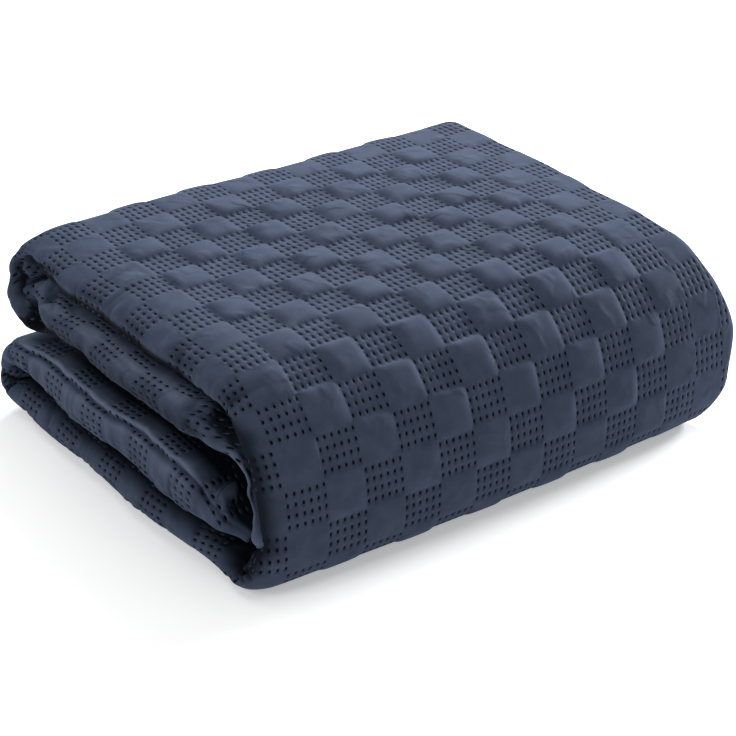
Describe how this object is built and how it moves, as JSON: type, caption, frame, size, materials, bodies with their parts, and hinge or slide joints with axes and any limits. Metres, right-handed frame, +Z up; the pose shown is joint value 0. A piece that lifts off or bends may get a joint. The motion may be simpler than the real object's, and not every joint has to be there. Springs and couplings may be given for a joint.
{
  "type": "folded quilted bedspread",
  "caption": "Quilted bedspread folded into a soft rectangular bundle, checker of plain puffed and dotted squares, big round bend on one side.",
  "frame": {"origin": "middle of the bundle's flat underside", "axes": "+X along the big bend, -Y towards the big bend, +Z up"},
  "size_m": [0.5097, 0.4221, 0.1758],
  "materials": {
    "navy_microfibre": "soft satin sheen"
  },
  "bodies": {
    "root": {"bedspread": "navy_microfibre"}
  },
  "joints": []
}
